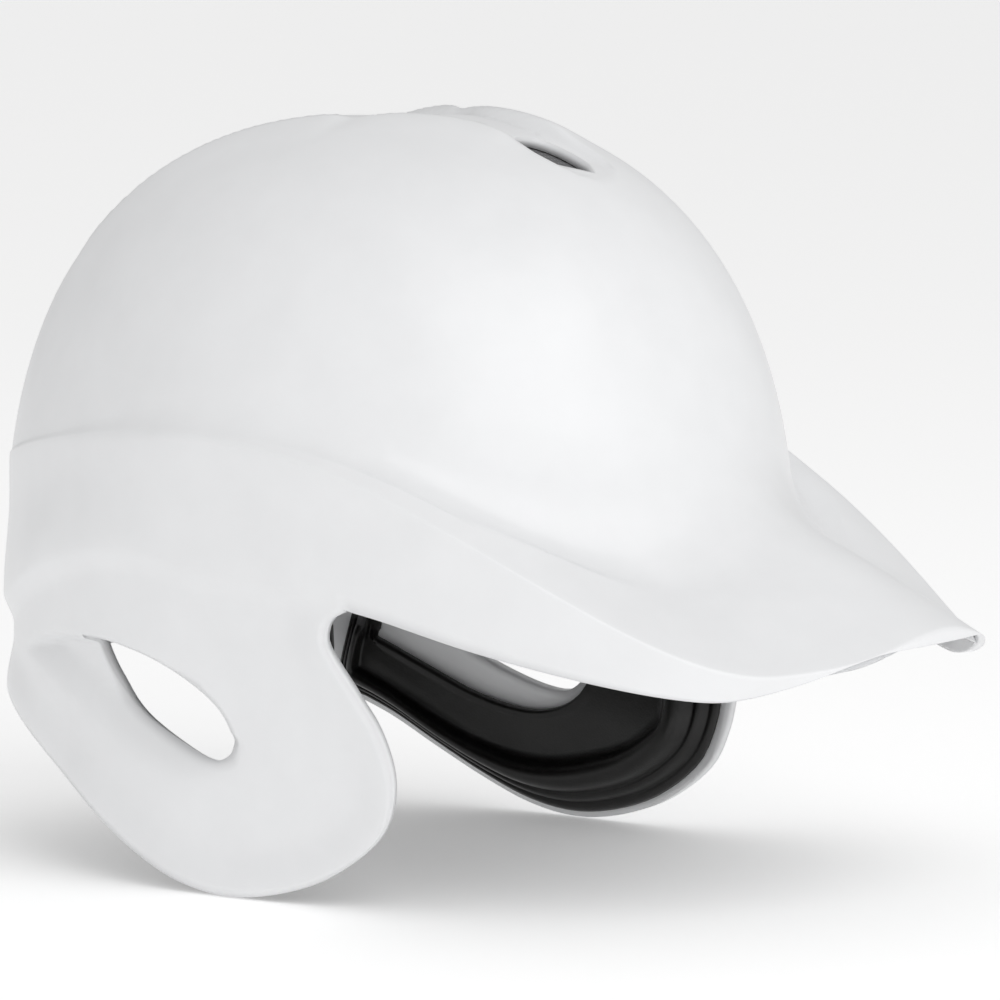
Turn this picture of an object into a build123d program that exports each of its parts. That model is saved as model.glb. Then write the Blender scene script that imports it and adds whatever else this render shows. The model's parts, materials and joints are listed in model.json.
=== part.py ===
from build123d import *
from math import cos, exp, pi, radians, sin
import os

os.makedirs("parts", exist_ok=True)

# Batting helmet in millimetres. +X is the front, +Z is up, and the wearer's left is +Y.
# The origin is on the middle plane, above the ears, at the height of the bill's root.

# Outer size of the dome
dome_front = 122.0          # from the origin to the front of the dome
dome_rear = 124.0           # from the origin to the back of the dome
dome_half_width = 103.0
crown_height = 110.0
band_proud = 0.8            # the band and flaps stand this far outside the dome's waist
waist_drop = 30.0           # the dome is widest this far below the origin
dome_fullness = 2.4         # 2 is an ellipse, higher is fuller

# Bill, and the crease that runs from its edge round the sides to the back
bill_reach = 66.0           # from the front of the dome to the tip
bill_fullness = 2.2         # 2 is an ellipse, higher is squarer
bill_slope = 90.0           # fall of the bill's top per unit of its outline
bill_tip_height = -30.5
bill_side_height = -41.0    # height of the bill's edge where it turns down at its sides
bill_flat_share = 0.5       # how far round to the side the bill's edge stays that low
crease_side_height = 21.0
crease_rear_height = -3.0

# Shell wall and the lower edge
wall = 3.0
flap_drop = 110.0
nape_drop = 60.0
temple_drop = 25.0
bill_edge_drop = 46.5       # the lowest point of the bill's side edge
tip_edge_drop = 34.5        # the lower edge at the tip of the bill
flap_front = 67.0
flap_throat = 45.5          # how far forward the notch above the flap reaches back
flap_inset = 3.2            # the flaps are sunk this far below their shoulder
shoulder_drop = 18.0
shoulder_back = 74.0        # the sunk part of a flap ends this far behind the origin

# Ear holes and crown vents
ear_hole_length = 65.0
ear_hole_width = 22.0
ear_hole_x = -18.0
ear_hole_z = -55.5
ear_hole_tilt = -26.0
front_vent_x = 57.0
front_vent_length = 26.0
front_vent_width = 19.0
rear_vent_x = 3.0
rear_vent_y = 22.0
rear_vent_length = 14.0
rear_vent_width = 6.0
rear_vent_turn = -22.0

# Sunk air channel that widens backwards over the crown, and its slide back that lets it fade out
channel_depth = 4.0
channel_slide = 4.0
channel_nose = 73.0
channel_front_half = 13.5
channel_middle_half = 26.0
channel_tail_half = 54.0
channel_tail = 94.0

# Lining
tape_space = 0.8            # between the shell and the liner
tape_thickness = 0.5
mesh_thickness = 0.4
liner_thickness = 10.0
liner_gap = 3.0             # between liner segments
crown_liner_length = 150.0
crown_liner_width = 110.0
liner_front_level = 6.0
liner_side_level = 2.0
liner_rear_level = -46.0
vent_margin = 2.0           # the air holes in the liner are this much larger all round than the vents
mesh_margin = 8.0           # the mesh reaches this far past the vents
patch_thickness = 0.7       # each of the hook and the loop patches
patch_clearance = 0.1
patch_radius = 9.0
pad_thickness = 5.0
pad_margin = 5.0            # a comfort pad starts this far above the edge of its liner segment
pad_height = 30.0           # height of the pads that ring the head
crown_pad_length = 90.0
crown_pad_width = 64.0
tape_height = 12.0
tape_level = 52.0

# Ear pads
ear_pad_rim = 2.5           # how much of the flap's edge shows around the pad
ear_pad_thickness = 10.5
ear_pad_skin = 1.8
ear_pad_top = -5.0
ear_pad_back = 66.0
ear_pad_ring = 13.0         # width of the raised ring that follows the flap's edge
ear_pad_floor = 4.0
ear_opening_margin = 6.0    # the opening in the pad is this much larger all round than the ear hole
foam_clearance = 0.3
ear_tape_width = 9.0
ear_tape_back = 45.0

# Each comfort pad round the head: its name, the way it faces, its half angle and its segment's level
liner_half_angle_ends = 42.0
pad_places = (
    ("forehead_pad", 0, 34.0, liner_front_level),
    ("side_pad_left", 90, 30.0, liner_side_level),
    ("nape_pad", 180, 30.0, liner_rear_level),
    ("side_pad_right", 270, 30.0, liner_side_level),
)

# Depths of the layers, measured in from the outside of the shell
liner_outside = wall + tape_space
liner_inside = liner_outside + liner_thickness
pad_outside = liner_inside + 2 * patch_thickness + 3 * patch_clearance
pad_inside = pad_outside + pad_thickness
tape_outside = wall + (tape_space - tape_thickness) / 2


def dome(inset):
    """A closed body shaped like the dome, straight below its waist, inset evenly from the outside."""
    top = crown_height + waist_drop - inset
    side = dome_half_width - inset
    foot = waist_drop - flap_drop - 12
    steps = 12
    curve = []
    for i in range(steps + 1):
        turn = pi / 2 * i / steps
        curve.append((side * sin(turn) ** (2 / dome_fullness), top * cos(turn) ** (2 / dome_fullness)))
    outline = Wire([
        Spline(*curve, tangents=((1, 0), (0, -1))),
        Line((side, 0), (side, foot)),
        Line((side, foot), (0, foot)),
        Line((0, foot), (0, top)),
    ])
    half = revolve(Plane.XZ * make_face(outline), Axis.Z, revolution_arc=180)
    if half.center().Y > 0:
        half = mirror(half, about=Plane.XZ)
    rear = Rot(0, 0, -90) * half
    front = mirror(rear, about=Plane.YZ)
    rear = scale(rear, by=((dome_rear - inset) / side, 1, 1))
    front = scale(front, by=((dome_front - inset) / side, 1, 1))
    return Pos(0, 0, -waist_drop) * (rear + front)


def plan(inset):
    """Outline of the bill, band and flaps from above: rounder than an ellipse in front."""
    half_width = dome_half_width + band_proud - inset
    edge = []
    for reach, fullness, turns in (
        (dome_front + bill_reach - inset, bill_fullness, range(0, 10)),
        (dome_rear + band_proud - inset, 2, range(10, 19)),
    ):
        for i in turns:
            turn = pi * i / 18
            x = reach * abs(cos(turn)) ** (2 / fullness)
            y = half_width * sin(turn) ** (2 / fullness)
            edge.append((x if turn <= pi / 2 else -x, y))
    left = Spline(*edge, tangents=((0, 1), (0, -1)))
    outline = make_face(Wire([left, Line(edge[-1], edge[0])]))
    return outline + mirror(outline, about=Plane.XZ)


def crease_height(side, ahead):
    """Height of the crease that rings the helmet, by how far round to the side a point lies."""
    rise = crease_side_height - bill_side_height
    at_side = max(0.0, side - bill_flat_share) / (1 - bill_flat_share)
    front = bill_tip_height + (bill_side_height - bill_tip_height) * (1 - exp(-(side / 0.33) ** 2))
    front = front + rise * at_side ** 2
    rear = crease_rear_height + (crease_side_height - crease_rear_height) * side ** 1.7
    return front if ahead else rear


def crease_ring(share, drop):
    """A closed curve on the ledge, at a share of the plan outline, lowered by drop."""
    points = []
    turns = 48
    for i in range(turns):
        turn = 2 * pi * i / turns
        ahead = cos(turn) >= 0
        reach, fullness = dome_rear + band_proud, 2
        if ahead:
            reach, fullness = dome_front + bill_reach, bill_fullness
        along = abs(cos(turn)) ** (2 / fullness)
        across = abs(sin(turn)) ** (2 / fullness)
        side = across / (along ** 2 + across ** 2) ** 0.5
        x = reach * share * along * (1 if ahead else -1)
        y = (dome_half_width + band_proud) * share * across * (1 if turn <= pi else -1)
        points.append((x, y, crease_height(side, ahead) + bill_slope * (1 - share) - drop))
    return Spline(*points, periodic=True)


def under_crease(drop):
    """All that lies under the ledge and the bill's upper face, from well inside the dome outwards."""
    face = Face.make_surface_from_curves(crease_ring(0.35, drop), crease_ring(1.08, drop))
    return Solid.extrude(face, Vector(0, 0, -300))


def band(inset):
    """An upright block inside the plan outline, taller than the band and the flaps."""
    return extrude(Pos(0, 0, -flap_drop - 20) * plan(inset), flap_drop + 100, dir=(0, 0, 1))


def bill_body(drop, inset):
    """Everything under the crease and inside the plan outline."""
    return band(inset) & under_crease(drop)


def flap_edge():
    """Side view of the shell's edge from the temple round the flap to the nape."""
    return Spline(
        (flap_throat + 9, -temple_drop),
        (flap_throat, -temple_drop - 7),
        (flap_front - 11, -temple_drop - 25),
        (flap_front, -flap_drop + 35),
        (flap_front - 22, -flap_drop + 9),
        (12, -flap_drop),
        (-40, -flap_drop + 17.5),
        (-88, -nape_drop - 8),
        (-dome_rear - 6, -nape_drop),
    )


def lower_edge():
    """Side view of all that lies above the shell's lower edge, from the bill's tip to the nape."""
    tip = dome_front + bill_reach
    side_low = tip - 30
    temple = (flap_throat + 9, -temple_drop)
    bill_edge = Spline(
        (tip + 6, -tip_edge_drop),
        (tip - 4, -tip_edge_drop - 1),
        (side_low, -bill_edge_drop),
        (side_low - 34, -bill_edge_drop + 4.5),
        temple,
    )
    over = crown_height + 20
    outline = Wire([
        bill_edge,
        flap_edge(),
        Line((-dome_rear - 6, -nape_drop), (-dome_rear - 6, over)),
        Line((-dome_rear - 6, over), (tip + 6, over)),
        Line((tip + 6, over), (tip + 6, -tip_edge_drop)),
    ])
    return make_face(outline)


def ear_leaf(margin=0.0):
    """Outline of the ear hole: pointed at the back, round at the front, drawn in the side view."""
    long, wide = ear_hole_length / 2 + margin, ear_hole_width / 2 + margin
    outline = Wire([
        Spline((-long, 0), (-long * 0.2, wide), (long * 0.6, wide * 0.8), (long, -wide * 0.1)),
        Spline(
            (long, -wide * 0.1), (long * 0.6, -wide), (-long * 0.2, -wide * 0.85), (-long, 0),
        ),
    ])
    return Pos(ear_hole_x, ear_hole_z) * Rot(0, 0, ear_hole_tilt) * make_face(outline)


def sideways(face, near, far):
    """Extrude a side-view outline along Y, from near to far."""
    low, high = min(near, far), max(near, far)
    upright = Plane(origin=(0, high, 0), x_dir=(1, 0, 0), z_dir=(0, -1, 0))
    return extrude(upright * face, high - low, dir=(0, -1, 0))


def layer(outside, inside):
    """A dome-shaped layer between two depths."""
    return dome(outside) - dome(inside)


def band_layer(outside, inside):
    """An upright layer between two depths inside the band and the flaps."""
    return band(outside) - band(inside)


def sector(middle, half_angle, low, high, gap=0.0):
    """An upright wedge about the origin, pulled back from its side faces by half the gap."""
    reach = 400
    edge = gap / 2 / sin(radians(half_angle))
    corners = [(edge, 0)]
    for turn in (-half_angle, half_angle):
        corners.append((edge + reach * cos(radians(turn)), reach * sin(radians(turn))))
    wedge = make_face(Polyline(*corners, close=True))
    return Pos(0, 0, low) * Rot(0, 0, middle) * extrude(wedge, high - low, dir=(0, 0, 1))


def upright_oval(length, width, low=0.0):
    """An upright oval block over the crown."""
    return Pos(0, 0, low) * extrude(Ellipse(length / 2, width / 2), crown_height + 20 - low, dir=(0, 0, 1))


def vents(margin=0.0):
    """Upright cutters for the teardrop front vent and the two slit vents behind it."""
    nose = front_vent_x + front_vent_length / 2 + margin
    back = front_vent_x - front_vent_length / 2 - margin
    half = front_vent_width / 2 + margin
    teardrop = make_face(Wire([
        Spline((back, 0), (back + 5, half), (front_vent_x + 4, half * 0.75), (nose, 0)),
        Spline((nose, 0), (front_vent_x + 4, -half * 0.75), (back + 5, -half), (back, 0)),
    ]))
    cutters = [extrude(teardrop, crown_height + 20, dir=(0, 0, 1))]
    for side in (1, -1):
        slit = Ellipse(rear_vent_length / 2 + margin, rear_vent_width / 2 + margin)
        slit = Pos(rear_vent_x, side * rear_vent_y, 0) * Rot(0, 0, side * rear_vent_turn) * slit
        cutters.append(extrude(slit, crown_height + 20, dir=(0, 0, 1)))
    return cutters


def cut(body, cutters):
    for cutter in cutters:
        body = body - cutter
    return body


def above_channel(inset, grow):
    """All that is taken away above the floor of the crown channel, with its outline let out by grow."""
    side = (
        (channel_nose + grow, 0),
        (channel_nose - 3, channel_front_half * 0.6 + grow),
        (channel_nose - 12, channel_front_half + grow),
        (channel_nose - 46, (channel_front_half + channel_middle_half) / 2 + grow),
        (0, channel_middle_half + 1 + grow),
        (-channel_tail, channel_tail_half + grow),
    )
    half = make_face(Wire([Spline(*side), Line(side[-1], (-channel_tail, 0)), Line((-channel_tail, 0), side[0])]))
    outline = half + mirror(half, about=Plane.XZ)
    column = Pos(0, 0, 40) * extrude(outline, crown_height, dir=(0, 0, 1))
    return column - Pos(-channel_slide, 0, -channel_depth) * dome(inset)


def sunk_flap(inset, grow):
    """A layer over both flaps below their shoulder, down to the inset, let out by grow."""
    top, back = -shoulder_drop + grow, -shoulder_back - grow
    notch = flap_throat + 4 + grow
    below = -flap_drop - 10
    region = make_face(Polyline(
        (notch, top - 6), (flap_throat - 20, top), (back + 18, top), (back, top - 18), (back, below),
        (flap_front + 20, below), (flap_front + 20, -temple_drop - 7), (notch, -temple_drop - 7), close=True))
    span = dome_half_width + 20
    return sideways(region, -span, span) - band(inset)


def outer_shell():
    outside = dome(0) + bill_body(0, 0)
    inside = dome(wall) + bill_body(wall, wall)
    outside = outside - above_channel(0, 0) - sunk_flap(flap_inset, 0)
    inside = inside - above_channel(wall, wall) - sunk_flap(flap_inset + wall, wall)
    span = dome_half_width + 20
    shell = (outside - inside) & sideways(lower_edge(), -span, span)
    shell = shell - sideways(ear_leaf(), -span, span)
    return cut(shell, vents())


def liner_segments():
    """Five foam segments cut from one layer: a crown oval and four sectors around it."""
    foam = layer(liner_outside, liner_inside) - above_channel(liner_outside, liner_outside)
    crown_cut = upright_oval(crown_liner_length, crown_liner_width)
    ring = foam - upright_oval(crown_liner_length + 2 * liner_gap, crown_liner_width + 2 * liner_gap)
    cutters = vents(vent_margin)
    segments = {"liner_crown": cut(foam & crown_cut, cutters)}
    places = (
        ("liner_front", 0, liner_half_angle_ends, liner_front_level),
        ("liner_left", 90, 90 - liner_half_angle_ends, liner_side_level),
        ("liner_rear", 180, liner_half_angle_ends, liner_rear_level),
        ("liner_right", 270, 90 - liner_half_angle_ends, liner_side_level),
    )
    for name, middle, half_angle, level in places:
        block = sector(middle, half_angle, level, crown_height, liner_gap)
        segments[name] = cut(ring & block, cutters)
    return segments


def comfort_pads():
    """Soft pads that ring the head, and one on the crown, each inside its liner segment."""
    soft = layer(pad_outside, pad_inside)
    pads = {}
    for name, middle, half_angle, level in pad_places:
        low = level + pad_margin
        pads[name] = soft & sector(middle, half_angle, low, low + pad_height)
    pads["crown_pad"] = soft & upright_oval(crown_pad_length, crown_pad_width)
    return pads


def patches(outside, inside):
    """Round patches of hook or loop tape behind each comfort pad, as separate solids."""
    sheet = layer(outside, inside)
    found = []
    for name, middle, half_angle, level in pad_places:
        height = level + pad_margin + pad_height / 2
        for turn in (-half_angle / 2, half_angle / 2):
            plug = Rot(0, 90, 0) * Cylinder(patch_radius, 200, align=(Align.CENTER, Align.CENTER, Align.MIN))
            plug = Pos(0, 0, height) * Rot(0, 0, middle + turn) * plug
            found += (sheet & plug).solids()
    for x in (-crown_pad_length / 4, crown_pad_length / 4):
        plug = Cylinder(patch_radius, 200, align=(Align.CENTER, Align.CENTER, Align.MIN))
        found += (sheet & Pos(x, 0, 0) * plug).solids()
    return Compound(children=found)


def vent_mesh():
    """One sheet of mesh under the floor of the crown channel, behind all its vents."""
    depth = wall + (tape_space - mesh_thickness) / 2
    front = channel_nose + mesh_margin
    back = rear_vent_x - rear_vent_length / 2 - mesh_margin
    length = front - back
    cover = Pos((front + back) / 2, 0, 40) * extrude(Rectangle(length, 200), crown_height, dir=(0, 0, 1))
    sheet = above_channel(depth + mesh_thickness, 0) - above_channel(depth, wall)
    return sheet & cover & dome(liner_outside)


def liner_tape():
    """A strip of double-sided tape across the back of each of the four side segments."""
    sheet = layer(tape_outside, tape_outside + tape_thickness)
    found = []
    for middle in (0, 90, 180, 270):
        strip = sector(middle, 26, tape_level, tape_level + tape_height)
        found += (sheet & strip).solids()
    return Compound(children=found)


def flap_outline(inset):
    """Side view of the flap, set in from its edge and cut level at the top and upright at the back."""
    edge = flap_edge()
    steps = 40
    points = []
    for i in range(steps + 1):
        place = edge.position_at(i / steps)
        heading = edge.tangent_at(i / steps)
        if points or (heading.X > 0 and place.Y < -temple_drop - 5):
            points.append((place.X + heading.Y * inset, place.Y - heading.X * inset))
    over = 40
    flap = make_face(Wire([
        Spline(*points[::2]),
        Line(points[::2][-1], (points[::2][-1][0], over)),
        Line((points[::2][-1][0], over), (points[0][0], over)),
        Line((points[0][0], over), points[0]),
    ]))
    length, height = 300, 200
    return flap & Pos(-ear_pad_back + inset + length / 2, ear_pad_top - inset - height / 2) * Rectangle(
        length, height)


def ear_pad(side):
    """The moulded cover, the foam ring inside it and the tape behind it, for one flap."""
    outside = wall + flap_inset + tape_space
    inside = outside + ear_pad_thickness
    floor = outside + ear_pad_floor
    far = dome_half_width + 20
    outline = flap_outline(ear_pad_rim)
    ring_end = ear_pad_rim + ear_pad_ring
    middle = flap_outline(ring_end)
    pocket = flap_outline(ear_pad_rim + ear_pad_skin) - flap_outline(ring_end - ear_pad_skin)
    foam_wall = ear_pad_skin + foam_clearance
    foam_outline = flap_outline(ear_pad_rim + foam_wall) - flap_outline(ring_end - foam_wall)
    near = side * 40
    far = side * far
    cover = band_layer(outside, inside) & sideways(outline, near, far)
    cover = cover - (band_layer(outside - 1, inside - ear_pad_skin) & sideways(pocket, near, far))
    cover = cover - (band_layer(floor, inside + 1) & sideways(middle, near, far))
    cover = cover - sideways(ear_leaf(ear_opening_margin), near, far)
    foam = band_layer(outside, inside - ear_pad_skin - foam_clearance)
    foam = foam & sideways(foam_outline, near, far)
    tape_outline = flap_outline(ear_pad_rim + 1) - flap_outline(ear_pad_rim + 1 + ear_tape_width)
    tape_outline = tape_outline & Pos(flap_front - ear_tape_back / 2 - flap_front / 2, -flap_drop / 2 - 30) * Rectangle(
        flap_front + ear_tape_back, flap_drop)
    tape_depth = outside - (tape_space + tape_thickness) / 2
    tape = band(tape_depth) & sideways(tape_outline, near, far) & sunk_flap(outside, 0)
    tape = tape - band(tape_depth + tape_thickness)
    return cover, foam, tape


def save(name, shape):
    export_step(shape, f"parts/{name}.step")


save("outer_shell", outer_shell())
save("vent_mesh", vent_mesh())
save("liner_tape", liner_tape())
for name, segment in liner_segments().items():
    save(name, segment)
for name, pad in comfort_pads().items():
    save(name, pad)
hook_outside = liner_inside + patch_clearance
loop_outside = hook_outside + patch_thickness + patch_clearance
save("hook_patches", patches(hook_outside, hook_outside + patch_thickness))
save("loop_patches", patches(loop_outside, loop_outside + patch_thickness))
ear_tapes = []
for name, side in (("left", 1), ("right", -1)):
    cover, foam, tape = ear_pad(side)
    save(f"ear_pad_cover_{name}", cover)
    save(f"ear_pad_foam_{name}", foam)
    ear_tapes += tape.solids()
save("ear_pad_tape", Compound(children=ear_tapes))
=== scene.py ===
import json
import math
import bpy
import bmesh
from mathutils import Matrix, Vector


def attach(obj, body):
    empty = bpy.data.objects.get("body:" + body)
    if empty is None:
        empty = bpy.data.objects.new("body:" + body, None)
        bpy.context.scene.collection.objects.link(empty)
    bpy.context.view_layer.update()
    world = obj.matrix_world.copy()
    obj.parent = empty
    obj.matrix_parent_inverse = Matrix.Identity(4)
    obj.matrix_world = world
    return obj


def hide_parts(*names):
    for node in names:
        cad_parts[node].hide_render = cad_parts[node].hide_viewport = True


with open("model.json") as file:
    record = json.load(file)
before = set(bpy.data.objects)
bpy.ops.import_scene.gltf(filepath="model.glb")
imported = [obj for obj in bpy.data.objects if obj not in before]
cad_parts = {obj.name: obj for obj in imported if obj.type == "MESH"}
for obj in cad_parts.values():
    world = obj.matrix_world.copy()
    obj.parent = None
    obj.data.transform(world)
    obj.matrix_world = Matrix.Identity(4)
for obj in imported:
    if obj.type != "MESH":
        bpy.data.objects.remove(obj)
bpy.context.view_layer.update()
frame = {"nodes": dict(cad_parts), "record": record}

mm = 0.001

# the helmet's main sizes, in mm
helmet = {
    "domeFront": 122.0, "domeRear": 124.0, "domeHalfWidth": 103.0,
    "crownHeight": 110.0, "waistDrop": 30.0, "domeFullness": 2.4,
    "bandProud": 0.8, "billReach": 66.0, "billFullness": 2.2, "billSlope": 90.0,
    "billTipHeight": -30.5, "billSideHeight": -41.0, "billFlatShare": 0.5,
    "creaseSideHeight": 21.0, "creaseRearHeight": -3.0,
    "wall": 3.0, "billCurlShare": 0.33,
    # the fillet between dome and bill, the bill's swell, and the rounding of the crease in front and behind
    "filletShare": 0.7, "filletMost": 19.0, "filletRise": 0.95, "billSwell": 1.6,
    "creaseRound": 0.9, "rearCreaseRound": 6.0,
}
# side view of the lower edge: the bill's part, then the flap's, as forward distance and height
billEdge = [(188, -34.5), (184, -35.4), (172, -42), (158, -46.5), (147, -46.3), (124, -42),
            (92, -34.5), (66, -27.5), (54.5, -25)]
flapEdge = [(54.5, -25), (47, -29.5), (46.5, -34.5), (51, -42), (57, -50), (64, -61), (67.3, -75),
            (62.5, -89), (47, -101), (30, -107.5), (12, -110), (-6, -107.5), (-23, -101),
            (-40, -92), (-60, -80), (-88, -68), (-110, -62), (-124.8, -60)]
# the soft shoulder above the flaps: degrees round from the front, and height
shoulder = [(75, -25), (82, -19), (91, -15), (102, -12), (118, -17.5), (140, -33), (160, -39), (180, -40)]


# points as an even Catmull-Rom curve with that many spans
def spread(points, steps):
    fine = []
    for i in range(len(points) - 1):
        a, b, c, d = (Vector(points[max(0, min(len(points) - 1, i + k))]) for k in (-1, 0, 1, 2))
        for k in range(12):
            t = k / 12
            fine.append(0.5 * (2 * b + (c - a) * t + (2 * a - 5 * b + 4 * c - d) * t * t
                               + (3 * b - a - 3 * c + d) * t ** 3))
    fine.append(Vector(points[-1]))
    lengths = [0.0]
    for a, b in zip(fine, fine[1:]):
        lengths.append(lengths[-1] + (b - a).length)
    even, k = [], 0
    for i in range(steps + 1):
        goal = lengths[-1] * i / steps
        while k < len(fine) - 2 and lengths[k + 1] < goal:
            k += 1
        part = (goal - lengths[k]) / max(lengths[k + 1] - lengths[k], 1e-9)
        even.append(fine[k].lerp(fine[k + 1], min(part, 1)))
    return even


# smooth curve through points (x rising or falling), read at x
def valueAt(points, x):
    order = points if points[0][0] < points[-1][0] else points[::-1]
    if x <= order[0][0]:
        return order[0][1]
    for i in range(len(order) - 1):
        if x <= order[i + 1][0]:
            (x0, y0), (x1, y1) = order[i], order[i + 1]
            before, after = order[max(i - 1, 0)], order[min(i + 2, len(order) - 1)]
            s0 = (y1 - before[1]) / (x1 - before[0])
            s1 = (after[1] - y0) / (after[0] - x0)
            h = x1 - x0
            t = (x - x0) / h
            return ((2 * t ** 3 - 3 * t * t + 1) * y0 + (t ** 3 - 2 * t * t + t) * h * s0
                    + (3 * t * t - 2 * t ** 3) * y1 + (t ** 3 - t * t) * h * s1)
    return order[-1][1]


def ease(t):
    t = max(0.0, min(1.0, t))
    return t * t * (3 - 2 * t)


# the band's outline from above; turn is 0 at the bill's tip and pi at the nape
def plan(turn, inset=0.0):
    c, s = math.cos(turn), math.sin(turn)
    h = helmet
    if c >= 0:
        reach, power = h["domeFront"] + h["billReach"], 2 / h["billFullness"]
    else:
        reach, power = h["domeRear"] + h["bandProud"], 1.0
    x = math.copysign(reach * abs(c) ** power, c)
    y = math.copysign((h["domeHalfWidth"] + h["bandProud"]) * abs(s) ** power, s)
    return Vector((x, y, 0))


def creaseHeight(turn):
    h = helmet
    c, s = math.cos(turn), abs(math.sin(turn))
    power = 2 / h["billFullness"] if c >= 0 else 1.0
    along, across = abs(c) ** power, s ** power
    side = across / math.hypot(along, across)
    if c < 0:
        return h["creaseRearHeight"] + (h["creaseSideHeight"] - h["creaseRearHeight"]) * side ** 1.7
    dropped = 1 - math.exp(-(side / h["billCurlShare"]) ** 2)
    low = h["billTipHeight"] + (h["billSideHeight"] - h["billTipHeight"]) * dropped
    turned = max(0.0, side - h["billFlatShare"]) / (1 - h["billFlatShare"])
    return low + (h["creaseSideHeight"] - h["billSideHeight"]) * turned ** 2


# how wide the dome is at height z, as a share of its widest
def domeShare(z):
    h = helmet
    up = max(0.0, z + h["waistDrop"]) / (h["crownHeight"] + h["waistDrop"])
    return (1 - min(up, 1) ** h["domeFullness"]) ** (1 / h["domeFullness"])


def domeHeight(share):
    h = helmet
    return (h["crownHeight"] + h["waistDrop"]) * (1 - min(share, 1) ** h["domeFullness"]) ** (
        1 / h["domeFullness"]) - h["waistDrop"]


def domePoint(turn, share):
    h = helmet
    c = math.cos(turn)
    x = (h["domeFront"] if c >= 0 else h["domeRear"]) * c * share
    return Vector((x, h["domeHalfWidth"] * math.sin(turn) * share, domeHeight(share)))


# relief on the crown: two raised blades either side of a sunk air channel
crown = {
    "bladeLine": [(-95, 56), (-63, 48), (-30, 37), (4, 26), (22, 18.5), (45, 13.2), (57, 13.5)],
    "bladeHeight": [(-82, 0), (-72, 1.2), (-40, 1.6), (-6, 1.6), (-1, 1.2), (3, 0.2), (8, 0.6), (16, 1.2),
                    (40, 1.8), (46, 1.5), (52, 0.4), (56, 0)],
    "channelDepth": [(-92, 0), (-70, 1.2), (-30, 2.6), (0, 4.4), (6, 4.2), (11, 2.6), (18, 2.4), (40, 3.0),
                     (52, 3.2), (61, 2.8), (68, 1.5), (74, 0)],
    "noseX": 57.0, "noseLength": 17.0, "noseHalf": 13.5, "edgeWidth": 3.4, "bladeSpread": 20.0,
}


def crownRelief(x, y):
    half = abs(y)
    line = valueAt(crown["bladeLine"], x)
    if x > crown["noseX"]:
        past = (x - crown["noseX"]) / crown["noseLength"]
        line = crown["noseHalf"] * math.sqrt(max(0.0, 1 - past * past))
    depth = valueAt(crown["channelDepth"], x) if x < 74 else 0.0
    height = valueAt(crown["bladeHeight"], x) if x < 56 else 0.0
    inside = ease((line - half) / crown["edgeWidth"] + 0.15)
    outward = ease(1 - max(0.0, half - line) / crown["bladeSpread"])
    return height * outward * (1 - inside) - depth * inside


def domeNormal(p):
    h = helmet
    a = h["domeFront"] if p.x >= 0 else h["domeRear"]
    n = Vector((p.x / a ** 2, p.y / h["domeHalfWidth"] ** 2,
                max(p.z + h["waistDrop"], 0) / (h["crownHeight"] + h["waistDrop"]) ** 2))
    return n.normalized()


def raised(p):
    return p + domeNormal(p) * crownRelief(p.x, p.y)


# mesh parts: every patch adds its points and faces here, and they are merged at the end
def addGrid(bm, points, skip=()):
    rows = [[bm.verts.new(p * mm) for p in row] for row in points]
    for i in range(len(rows) - 1):
        for j in range(len(rows[0]) - 1):
            if (i, j) in skip:
                continue
            corners = [rows[i][j], rows[i][j + 1], rows[i + 1][j + 1], rows[i + 1][j]]
            if len({tuple(c.co[:]) for c in corners}) >= 3:
                bm.faces.new(corners)
    return rows


# a hole in a grid: the cells about it make way for rings that run from the block's edge to the outline
def cutHole(bm, flat, surface, outline, rings, margin, skip):
    low = [min(p[k] for p in outline) - margin for k in (0, 1)]
    high = [max(p[k] for p in outline) + margin for k in (0, 1)]
    inside = [(i, j) for i in range(len(flat)) for j in range(len(flat[0]))
              if low[0] < flat[i][j][0] < high[0] and low[1] < flat[i][j][1] < high[1]]
    i0, i1 = min(i for i, j in inside), max(i for i, j in inside)
    j0, j1 = min(j for i, j in inside), max(j for i, j in inside)
    skip.update((i, j) for i in range(i0, i1) for j in range(j0, j1))
    loop = ([(i, j0) for i in range(i0, i1)] + [(i1, j) for j in range(j0, j1)]
            + [(i, j1) for i in range(i1, i0, -1)] + [(i0, j) for j in range(j1, j0, -1)])
    outer = [Vector(flat[i][j][:2]) for i, j in loop]
    count = len(outer)
    inner = evenLoop(outline, count)
    if loopTurn(outer) * loopTurn(inner) < 0:
        inner.reverse()
    shift = min(range(count), key=lambda k: sum((outer[n] - inner[(n + k) % count]).length_squared
                                                for n in range(count)))
    inner = inner[shift:] + inner[:shift]
    band = []
    for r in range(rings + 1):
        share = r / rings
        ring = [surface(*outer[n].lerp(inner[n], share)) for n in range(count)]
        band.append(ring + ring[:1])
    addGrid(bm, band)


def loopTurn(loop):
    return sum(a.x * b.y - b.x * a.y for a, b in zip(loop, loop[1:] + loop[:1]))


# the outline's corner points stay on it, so a pointed end stays pointed
def evenLoop(outline, count):
    closed = [Vector(p) for p in outline] + [Vector(outline[0])]
    lengths = [0.0]
    for a, b in zip(closed, closed[1:]):
        lengths.append(lengths[-1] + (b - a).length)
    even, k = [], 0
    for n in range(count):
        goal = lengths[-1] * n / count
        while k < len(closed) - 2 and lengths[k + 1] < goal:
            k += 1
        share = (goal - lengths[k]) / max(lengths[k + 1] - lengths[k], 1e-9)
        even.append(closed[k].lerp(closed[k + 1], share))
    return even


# the crown patch, a square grid bent into an oval
shellGrid = {"crownSide": 96, "crownShare": 0.66, "domeRows": 20, "filletRows": 9, "ledgeRows": 12,
             "bandRows": 8, "flapRows": 38, "templeX": 54.5}


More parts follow.
